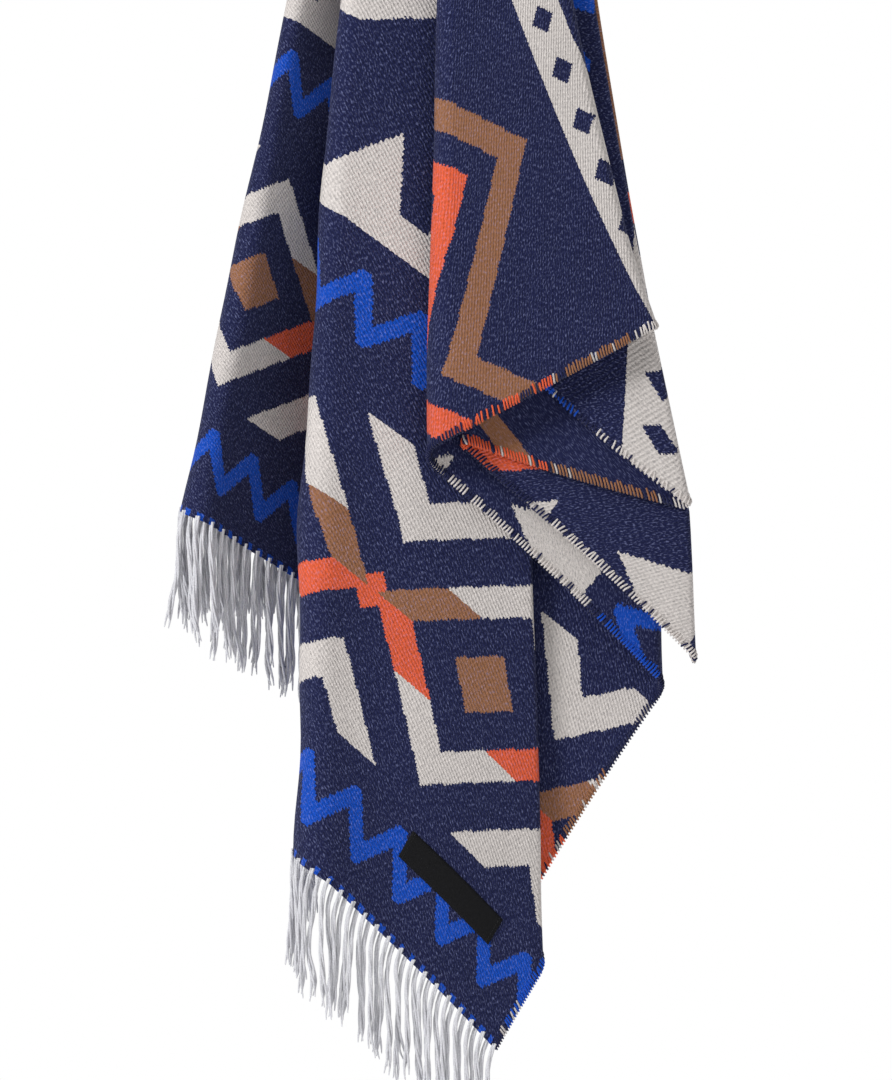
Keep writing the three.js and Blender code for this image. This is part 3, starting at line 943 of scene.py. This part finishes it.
class YarnTree:
    """A Geometry Nodes tree that turns drawn paths into round yarn."""

    def __init__(self) -> None:
        """Build the tree."""
        tree = bpy.data.node_groups.new("yarn_from_paths", "GeometryNodeTree")
        self.tree = tree
        face = tree.interface
        face.new_socket("Paths", in_out="INPUT", socket_type="NodeSocketGeometry")
        self.radius = face.new_socket("Yarn radius", in_out="INPUT", socket_type="NodeSocketFloat").identifier
        self.sides = face.new_socket("Sides", in_out="INPUT", socket_type="NodeSocketInt").identifier
        self.look = face.new_socket("Look", in_out="INPUT", socket_type="NodeSocketMaterial").identifier
        face.new_socket("Yarn", in_out="OUTPUT", socket_type="NodeSocketGeometry")
        add, link = tree.nodes.new, tree.links.new
        start = add("NodeGroupInput")
        end = add("NodeGroupOutput")
        curves = add("GeometryNodeMeshToCurve")
        thick = add("GeometryNodeInputNamedAttribute")
        thick.data_type = "FLOAT"
        thick.inputs["Name"].default_value = "thickness"
        scale = add("ShaderNodeMath")
        scale.operation = "MULTIPLY"
        ring = add("GeometryNodeCurvePrimitiveCircle")
        ring.inputs["Radius"].default_value = 1.0
        tube = add("GeometryNodeCurveToMesh")
        tube.inputs["Fill Caps"].default_value = True
        smooth = add("GeometryNodeSetShadeSmooth")
        real = add("GeometryNodeRealizeInstances")
        dress = add("GeometryNodeSetMaterial")
        link(start.outputs["Paths"], curves.inputs["Mesh"])
        link(thick.outputs["Attribute"], scale.inputs[0])
        link(start.outputs["Yarn radius"], scale.inputs[1])
        link(scale.outputs[0], tube.inputs["Scale"])
        link(start.outputs["Sides"], ring.inputs["Resolution"])
        link(curves.outputs["Curve"], tube.inputs["Curve"])
        link(ring.outputs["Curve"], tube.inputs["Profile Curve"])
        link(tube.outputs["Mesh"], smooth.inputs["Geometry"])
        link(smooth.outputs["Geometry"], real.inputs["Geometry"])
        link(real.outputs["Geometry"], dress.inputs["Geometry"])
        link(start.outputs["Look"], dress.inputs["Material"])
        link(dress.outputs["Geometry"], end.inputs["Yarn"])

    def spin(
        self,
        name: str,
        paths: np.ndarray,
        thickness: np.ndarray,
        flat: np.ndarray,
        radius: float,
        sides: int,
        look: bpy.types.Material,
    ) -> bpy.types.Object:
        """Turn equal-length paths into one piece of yarn.

        Args:
            name: The piece's name.
            paths: Paths by points by x, y and z.
            thickness: Share of the radius at each point of a path.
            flat: Each path's place on the flat cloth.
            radius: Yarn radius in metres.
            sides: Sides of the yarn.
            look: The yarn's material.

        Returns:
            The piece, a plain mesh.
        """
        count, steps = paths.shape[:2]
        mesh = bpy.data.meshes.new(name)
        first = np.arange(count * steps).reshape(count, steps)
        edges = np.stack([first[:, :-1].ravel(), first[:, 1:].ravel()], axis=1)
        mesh.from_pydata(paths.reshape(-1, 3).tolist(), edges.tolist(), [])
        thick = mesh.attributes.new("thickness", "FLOAT", "POINT")
        thick.data.foreach_set("value", np.tile(thickness, count).astype(np.float32))
        place = mesh.attributes.new("flat_place", "FLOAT_VECTOR", "POINT")
        where = np.repeat(np.column_stack([flat, np.zeros(count)]), steps, axis=0)
        place.data.foreach_set("vector", where.astype(np.float32).ravel())
        piece = bpy.data.objects.new(name, mesh)
        bpy.context.scene.collection.objects.link(piece)
        nodes = piece.modifiers.new("yarn", "NODES")
        nodes.node_group = self.tree
        nodes[self.radius] = radius
        nodes[self.sides] = sides
        nodes[self.look] = look
        graph = bpy.context.evaluated_depsgraph_get()
        made = bpy.data.meshes.new_from_object(
            piece.evaluated_get(graph), preserve_all_data_layers=True, depsgraph=graph
        )
        piece.modifiers.remove(nodes)
        piece.data = made
        made.name = name
        return piece


def mesh_piece(
    name: str,
    points: np.ndarray,
    quads: np.ndarray,
    flat: np.ndarray,
    slots: np.ndarray,
    looks: Sequence[bpy.types.Material],
) -> bpy.types.Object:
    """Make a smooth mesh piece with a map of its place on the flat cloth.

    Args:
        name: The piece's name.
        points: Rows of x, y and z.
        quads: Rows of four point numbers.
        flat: Place of each point on the flat cloth.
        slots: Material slot of each face.
        looks: The materials.

    Returns:
        The piece.
    """
    mesh = bpy.data.meshes.new(name)
    mesh.from_pydata(points.tolist(), [], quads.tolist())
    for look in looks:
        mesh.materials.append(look)
    mesh.polygons.foreach_set("material_index", slots.astype(np.int32))
    mesh.polygons.foreach_set("use_smooth", np.ones(len(quads), dtype=bool))
    layer = mesh.uv_layers.new(name="flat")
    corners = np.empty(len(mesh.loops), dtype=np.int32)
    mesh.loops.foreach_get("vertex_index", corners)
    layer.data.foreach_set("uv", flat[corners].astype(np.float32).ravel())
    mesh.update()
    piece = bpy.data.objects.new(name, mesh)
    bpy.context.scene.collection.objects.link(piece)
    return piece


@dataclass
class WovenCloth:
    """The cloth itself: one closed sheet with a face and a back."""

    grid: ClothGrid

    def build(self) -> bpy.types.Object:
        """Build and dress the cloth.

        Returns:
            The piece.
        """
        points, normals, half = self.grid.points, self.grid.normals, self.grid.half[:, :, None]
        count, rows = points.shape[:2]
        outer = (points + normals * half).reshape(-1, 3)
        inner = (points - normals * half).reshape(-1, 3)
        number = np.arange(count * rows).reshape(count, rows)
        after = np.roll(number, -1, axis=0)
        face = np.stack([number[:, :-1], number[:, 1:], after[:, 1:], after[:, :-1]], axis=-1).reshape(-1, 4)
        back = face[:, ::-1] + count * rows
        shift = count * rows
        low = np.stack([number[:, -1], number[:, -1] + shift, after[:, -1] + shift, after[:, -1]], axis=1)
        top = np.stack([number[:, 0], after[:, 0], after[:, 0] + shift, number[:, 0] + shift], axis=1)
        quads = np.concatenate([face, back, low, top])
        slots = np.concatenate([np.zeros(len(face)), np.ones(len(back)), np.zeros(len(low) + len(top))])
        flat = np.concatenate([self.grid.flat.reshape(-1, 2)] * 2)
        looks = [ClothFinish(ClothSide.FACE).material(), ClothFinish(ClothSide.BACK).material()]
        return mesh_piece("woven_cloth", np.concatenate([outer, inner]), quads, flat, slots, looks)


@dataclass
class Fringe:
    """Loose yarn along one woven end. Sizes are in metres.

    Attributes:
        grid: The cloth that it hangs from.
        name: The piece's name.
        far: Whether it is on the far end.
        pitch: Distance between strands.
        drop: Length of a strand.
        plies: Loose plies in a strand.
        ply_radius: Radius of one ply.
        twist: Length in which the plies turn once.
        hold: Depth of cloth that sets the way a strand leaves the end.
        lean: Spread of the strands' lean.
        bend: Spread of the strands' bend.
        steps: Points down a strand.
        seed: Seed of the strands' sway.
    """

    grid: ClothGrid
    name: str
    far: bool
    pitch: float = 0.0066
    drop: float = 0.096
    plies: int = 3
    ply_radius: float = 0.00108
    twist: float = 0.07
    hold: float = 0.006
    lean: float = 0.0035
    bend: float = 0.0012
    steps: int = 18
    seed: int = 11

    def paths(self) -> tuple[np.ndarray, np.ndarray]:
        """Draw the plies of every strand.

        Returns:
            The paths, and each path's place on the flat cloth.
        """
        drape = self.grid.drape
        width, length = drape.width / 1000, drape.length / 1000
        count = int(width / self.pitch)
        u = (np.arange(count) + 0.5) / count * width
        edge = np.full(count, length if self.far else 0.0)
        row = np.where(np.arange(count) % 2 == 0, 1.0, -1.0) * self.ply_radius * 0.8
        inset = -1 if self.far else 1
        root = self.grid.place(u, edge, row)
        above = self.grid.place(u, edge + inset * self.hold, row)
        away = root - above
        away /= np.linalg.norm(away, axis=1, keepdims=True)
        rng = np.random.default_rng(self.seed + int(self.far))
        drop = self.drop * rng.uniform(0.86, 1.05, count)
        lean = rng.normal(0, self.lean, (count, 2))
        bend = rng.normal(0, self.bend, (count, 2))
        phase = rng.uniform(0, 2 * math.pi, count)
        t = np.linspace(0, 1, self.steps)
        fall = np.zeros((count, self.steps, 3))
        start = above * 0.5 + root * 0.5
        turned = np.clip(t / 0.3, 0, 1)[None, :, None]
        straight = np.array([0.0, 0.0, -1.0])[None, None, :]
        way = away[:, None, :] * (1 - turned) + straight * turned
        way /= np.linalg.norm(way, axis=2, keepdims=True)
        step = drop[:, None, None] / (self.steps - 1) * way
        fall[:, 1:] = np.cumsum(step[:, 1:], axis=1)
        ripple = np.sin(t[None, :] * 2 * math.pi * 1.3 + phase[:, None])
        sway = lean[:, None, :] * (t**1.6)[None, :, None]
        sway = sway + bend[:, None, :] * (ripple * t[None, :])[:, :, None]
        middle = start[:, None, :] + fall
        middle[:, :, :2] += sway
        plies = []
        for ply in range(self.plies):
            start_turn = phase + ply * 2 * math.pi / self.plies
            twist = t[None, :] * drop[:, None] / self.twist * 2 * math.pi + start_turn[:, None]
            spread = self.ply_radius * (0.9 + 1.1 * np.clip((t - 0.45) / 0.55, 0, 1) ** 2)
            level = np.zeros_like(twist)
            round_way = np.stack([np.cos(twist) * spread, np.sin(twist) * spread, level], axis=2)
            short = rng.uniform(0.94, 1.02, count)[:, None, None]
            ply_path = start[:, None, :] + (middle - start[:, None, :]) * short
            plies.append(ply_path + round_way)
        flat = np.column_stack([u, edge])
        return np.concatenate(plies), np.concatenate([flat] * self.plies)

    def build(self, tree: YarnTree, look: bpy.types.Material) -> bpy.types.Object:
        """Build the fringe.

        Args:
            tree: The tree that makes yarn.
            look: The yarn's material.

        Returns:
            The piece.
        """
        paths, flat = self.paths()
        t = np.linspace(0, 1, self.steps)
        thickness = np.where(t > 0.9, 1 - (t - 0.9) * 6, 1.0)
        return tree.spin(self.name, paths, thickness, flat, self.ply_radius, 5, look)


@dataclass
class Overlock:
    """Overlock stitches that wrap one side of the cloth. Sizes are in metres.

    Attributes:
        grid: The cloth that is sewn.
        name: The piece's name.
        right: Whether it is on the right side of the flat cloth.
        pitch: Distance between stitches.
        reach: How far the stitches reach in from the edge.
        radius: Yarn radius.
        seed: Seed of the stitches' unevenness.
    """

    grid: ClothGrid
    name: str
    right: bool
    pitch: float = OVERLOCK_PITCH
    reach: float = 0.0054
    radius: float = 0.00078
    seed: int = 23

    def build(self, tree: YarnTree, look: bpy.types.Material) -> bpy.types.Object:
        """Build the stitches.

        Args:
            tree: The tree that makes yarn.
            look: The yarn's material.

        Returns:
            The piece.
        """
        drape = self.grid.drape
        width, length = drape.width / 1000, drape.length / 1000
        count = int(length / self.pitch)
        rng = np.random.default_rng(self.seed + int(self.right))
        v = (np.arange(count) + 0.5) / count * length
        edge = width if self.right else 0.0
        inset = -1.0 if self.right else 1.0
        reach = self.reach * rng.uniform(0.75, 1.2, count)
        slant = self.pitch * rng.uniform(0.2, 0.9, count)
        half = drape.thickness / 2000
        lift = half + self.radius * 0.7
        rim = self.grid.place(np.full(count, edge), v)
        inside = self.grid.place(np.full(count, edge + inset * 0.003), v)
        out = (rim - inside) / np.linalg.norm(rim - inside, axis=1, keepdims=True)
        legs = ((1.0, 0.45, 1.0), (0.5, 1.0, 0.5), (0.12, 1.0, 0.1))
        points = []
        for share, rise, skew in legs:
            at = np.clip(v + slant * skew, 0.001, length - 0.001)
            points.append(self.grid.place(edge + inset * reach * share, at, lift * rise))
        points.append(rim + out * (self.radius * 1.3))
        for share, rise, skew in reversed(legs):
            at = np.clip(v - slant * skew * 0.4, 0.001, length - 0.001)
            points.append(self.grid.place(edge + inset * reach * share, at, -lift * rise))
        paths = np.stack(points, axis=1)
        flat = np.column_stack([np.full(count, edge), v])
        return tree.spin(self.name, paths, np.ones(paths.shape[1]), flat, self.radius, 5, look)


@dataclass
class SewnLabel:
    """A bare satin label near the corner of the near end. Sizes are in metres.

    Attributes:
        grid: The cloth that carries it.
        length: Its length along the end.
        height: Its height.
        from_side: Distance from the right side of the flat cloth.
        from_end: Distance from the near end.
        lift: Gap over the cloth.
        thickness: Its thickness.
    """

    grid: ClothGrid
    length: float = 0.098
    height: float = 0.023
    from_side: float = 0.049
    from_end: float = 0.055
    lift: float = 0.0006
    thickness: float = 0.0007
    columns: int = 48
    rows: int = 12

    def build(self) -> bpy.types.Object:
        """Build and dress the label.

        Returns:
            The piece.
        """
        right = self.grid.drape.width / 1000 - self.from_side
        across = np.linspace(0, 1, self.columns + 1)
        down = np.linspace(1, 0, self.rows + 1)
        c, r = np.meshgrid(across, down, indexing="ij")
        u = (right - self.length * (1 - c)).ravel()
        v = (self.from_end + self.height * r).ravel()
        soft = np.sin(c.ravel() * 9.0 + 0.6) * np.sin(r.ravel() * 3.0) * 0.00035
        base = self.grid.drape.thickness / 2000 + self.lift
        rim = np.minimum(np.minimum(c, 1 - c) * self.length, np.minimum(r, 1 - r) * self.height).ravel()
        crown = np.clip(rim / 0.0008, 0, 1) * 0.0003
        inner = self.grid.place(u, v, base + np.abs(soft))
        outer = self.grid.place(u, v, base + self.thickness - 0.0003 + crown + np.abs(soft))
        shape = c.shape
        number = np.arange(c.size).reshape(shape)
        a, b = number[:-1, :-1], number[:-1, 1:]
        e, d = number[1:, 1:], number[1:, :-1]
        face = np.stack([a, b, e, d], axis=-1).reshape(-1, 4)
        ring = np.concatenate([number[0, :-1], number[:-1, -1], number[-1, :0:-1], number[:0:-1, 0]])
        after = np.roll(ring, -1)
        wall = np.stack([ring, ring + c.size, after + c.size, after], axis=1)
        quads = np.concatenate([face, face[:, ::-1] + c.size, wall])
        points = np.concatenate([outer, inner])
        flat = np.concatenate([np.column_stack([u, v])] * 2)
        slots = np.zeros(len(quads))
        return mesh_piece("bare_label", points, quads, flat, slots, [SatinFinish().material()])

    def stitches(self, tree: YarnTree, look: bpy.types.Material) -> bpy.types.Object:
        """Sew the label's two short ends down.

        Args:
            tree: The tree that makes yarn.
            look: The thread's material.

        Returns:
            The piece.
        """
        right = self.grid.drape.width / 1000 - self.from_side
        lift = self.grid.drape.thickness / 2000 + self.lift + self.thickness
        v = self.from_end + self.height * (np.arange(8) + 0.5) / 8
        paths = []
        flats = []
        for u in (right - 0.003, right - self.length + 0.003):
            ends = [(-0.0012, -0.0003), (-0.0006, 0.0002), (0.0006, 0.0002), (0.0012, -0.0003)]
            points = [self.grid.place(np.full(8, u), v + along, lift + rise) for along, rise in ends]
            paths.append(np.stack(points, axis=1))
            flats.append(np.column_stack([np.full(8, u), v]))
        thickness = np.ones(4)
        return tree.spin(
            "label_thread", np.concatenate(paths), thickness, np.concatenate(flats), 0.0003, 5, look
        )


@dataclass(frozen=True)
class Studio:
    """Camera, lights and floor. Sizes are in metres.

    Attributes:
        centre: The point of the drape in the middle of the picture.
        view_height: Height of the picture at the drape.
        distance: Distance of the camera.
        floor: Height of the floor.
        floor_radius: Radius of the floor.
        air_light: Strength of the even light from all sides.
    """

    centre: tuple[float, float, float] = (-0.0105, -0.06, -0.87)
    view_height: float = 0.81
    distance: float = 4.6
    floor: float = -1.62
    floor_radius: float = 3.0
    air_light: float = 0.14

    def camera(self) -> None:
        """Place the camera at the photograph's viewing angle."""
        lens = bpy.data.cameras.new("photo_camera")
        lens.sensor_fit = "VERTICAL"
        lens.sensor_height = 24.0
        lens.lens = 24.0 * self.distance / self.view_height
        lens.clip_end = 60.0
        camera = bpy.data.objects.new("photo_camera", lens)
        x, y, z = self.centre
        camera.location = (x, y - self.distance, z)
        camera.rotation_euler = (math.pi / 2, 0.0, 0.0)
        bpy.context.scene.collection.objects.link(camera)
        bpy.context.scene.camera = camera

    def lamp(self, name: str, place: Station, size: float, power: float) -> None:
        """Hang a soft square lamp that faces the drape.

        Args:
            name: The lamp's name.
            place: Where it hangs.
            size: Its side.
            power: Its power in watts.
        """
        light = bpy.data.lights.new(name, "AREA")
        light.shape = "SQUARE"
        light.size = size
        light.energy = power
        lamp = bpy.data.objects.new(name, light)
        lamp.location = place
        way = np.array(self.centre) - np.array(place)
        flat = math.hypot(way[0], way[1])
        lamp.rotation_euler = (math.pi / 2 + math.atan2(way[2], flat), 0.0, math.atan2(-way[0], way[1]))
        bpy.context.scene.collection.objects.link(lamp)

    def ground(self) -> bpy.types.Object:
        """Make the plain pale floor, a wide disc under the drape."""
        sides = 96
        turns = [2 * math.pi * n / sides for n in range(sides)]
        reach = self.floor_radius
        points = [(reach * math.cos(a), reach * math.sin(a), self.floor) for a in turns]
        mesh = bpy.data.meshes.new("studio_floor")
        mesh.from_pydata(points, [], [list(range(sides))])
        graph = Graph("floor_paper")
        place = graph.node("ShaderNodeTexCoord", output="Object")
        grain = graph.node("ShaderNodeTexNoise", None, {"Vector": place, "Scale": 40.0})
        colour = graph.blend(grain, (0.86, 0.86, 0.86), (0.9, 0.9, 0.9))
        glow = {"Emission Color": (1.0, 1.0, 1.0, 1.0), "Emission Strength": 0.35}
        mesh.materials.append(graph.finish(colour, 0.9, None, 0.0, glow))
        floor = bpy.data.objects.new("studio_floor", mesh)
        bpy.context.scene.collection.objects.link(floor)
        return floor

    def air(self) -> bpy.types.World:
        """Make the world: white where it is seen, and a dim even light elsewhere."""
        world = bpy.data.worlds.new("studio_air")
        world.use_nodes = True
        tree = world.node_tree
        tree.nodes.clear()
        seen = tree.nodes.new("ShaderNodeLightPath")
        mix = tree.nodes.new("ShaderNodeMixShader")
        out = tree.nodes.new("ShaderNodeOutputWorld")
        tree.links.new(seen.outputs["Is Camera Ray"], mix.inputs[0])
        for slot, strength in ((1, self.air_light), (2, 1.0)):
            sky = tree.nodes.new("ShaderNodeBackground")
            sky.inputs["Color"].default_value = (1.0, 1.0, 1.0, 1.0)
            sky.inputs["Strength"].default_value = strength
            tree.links.new(sky.outputs[0], mix.inputs[slot])
        tree.links.new(mix.outputs[0], out.inputs["Surface"])
        return world

    def build(self) -> None:
        """Set up the whole studio."""
        self.camera()
        self.ground()
        self.lamp("key", (-2.1, -1.9, 0.6), 0.9, 70.0)
        self.lamp("fill", (1.6, -3.0, -0.5), 1.8, 10.0)
        self.lamp("over", (0.3, -1.0, 1.5), 1.0, 12.0)
        self.lamp("behind_left", (-1.8, 2.2, 0.2), 1.4, 26.0)
        self.lamp("behind_right", (2.2, 1.6, 0.0), 1.4, 26.0)
        scene = bpy.context.scene
        scene.world = self.air()
        scene.view_settings.view_transform = "Standard"


def carried(piece: bpy.types.Object, slot: str, *nodes: str) -> bpy.types.Object:
    """Fix a piece to the blanket's body.

    Args:
        piece: The piece.
        slot: Name of a material slot; not used.
        nodes: CAD nodes that the piece stands for.

    Returns:
        The piece.
    """
    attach(piece, ROOT_BODY)
    if nodes:
        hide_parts(*nodes)
    LOG.info("%s: %d faces", piece.name, len(piece.data.polygons))
    return piece


def main() -> None:
    """Build the blanket and the studio."""
    logging.basicConfig(level=logging.INFO, format="%(name)s %(message)s")
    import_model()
    Studio().build()
    grid = ClothGrid(Drape())
    tree = YarnTree()
    pale = YarnFinish("fringe_yarn", srgb(226, 226, 231)).material()
    overlock = OverlockFinish().material()
    thread = YarnFinish("label_thread", srgb(26, 26, 30)).material()
    cloth = carried(WovenCloth(grid).build(), "cloth", "cloth")
    near = carried(Fringe(grid, "fringe_near_end", False).build(tree, pale), "fringe", "fringe_near")
    far = carried(Fringe(grid, "fringe_far_end", True).build(tree, pale), "fringe", "fringe_far")
    right = carried(Overlock(grid, "overlock_right", True).build(tree, overlock), "cloth")
    left = carried(Overlock(grid, "overlock_left", False).build(tree, overlock), "cloth")
    label = SewnLabel(grid)
    plate = carried(label.build(), "label", "label")
    sewing = carried(label.stitches(tree, thread), "label")
    bpy.context.view_layer.update()


if __name__ == "__main__":
    main()
